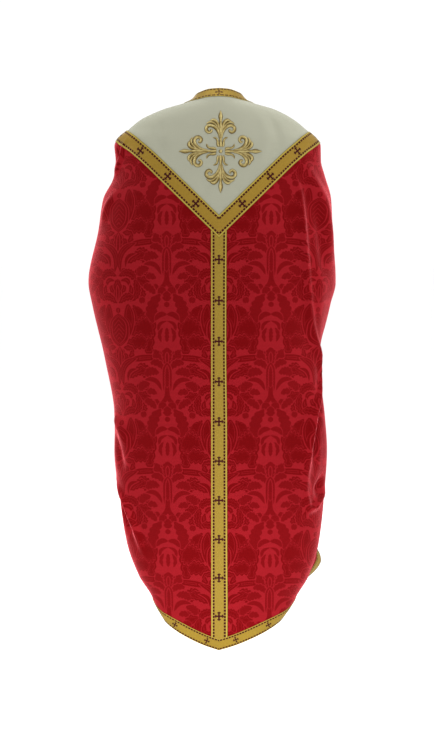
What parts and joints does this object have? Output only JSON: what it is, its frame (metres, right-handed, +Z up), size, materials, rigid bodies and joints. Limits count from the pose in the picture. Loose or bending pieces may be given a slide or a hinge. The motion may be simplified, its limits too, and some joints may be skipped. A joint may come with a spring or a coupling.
{
  "type": "conical chasuble",
  "caption": "Conical chasuble in figured red cloth with an ivory yoke, woven gold galloon and an embroidered cross, worn over bent arms with nobody in it.",
  "frame": {"origin": "between the wearer's shoulders, on the centre line, at the height of the lower edge of the neck tape at the back; the wearer's shoulders hold it there", "axes": "+Z up; the wearer faces -Y, so the back of the garment is on +Y; +X is the wearer's left"},
  "size_m": [0.6141, 0.3173, 1.3887],
  "materials": {
    "damask": "satin-figured woven damask, deep red figure on a lighter red ground, soft sheen",
    "ivory": "plain ivory wool and silk cloth, fine weave, soft sheen",
    "galloon": "woven old-gold galloon with a twill field, maroon dashes and small maroon crosses",
    "gold_thread": "padded satin stitch in antique gold thread"
  },
  "bodies": {
    "root": {"back_panel": "damask", "front_panel": "damask", "back_yoke": "ivory", "front_yoke": "ivory", "column_tape": "galloon", "neck_tape": "galloon", "v_tape_left": "galloon", "v_tape_right": "galloon", "hem_tape_left": "galloon", "hem_tape_right": "galloon", "cross_boss": "gold_thread", "cross_arm_top": "gold_thread", "cross_arm_left": "gold_thread", "cross_arm_bottom": "gold_thread", "cross_arm_right": "gold_thread"}
  },
  "joints": []
}
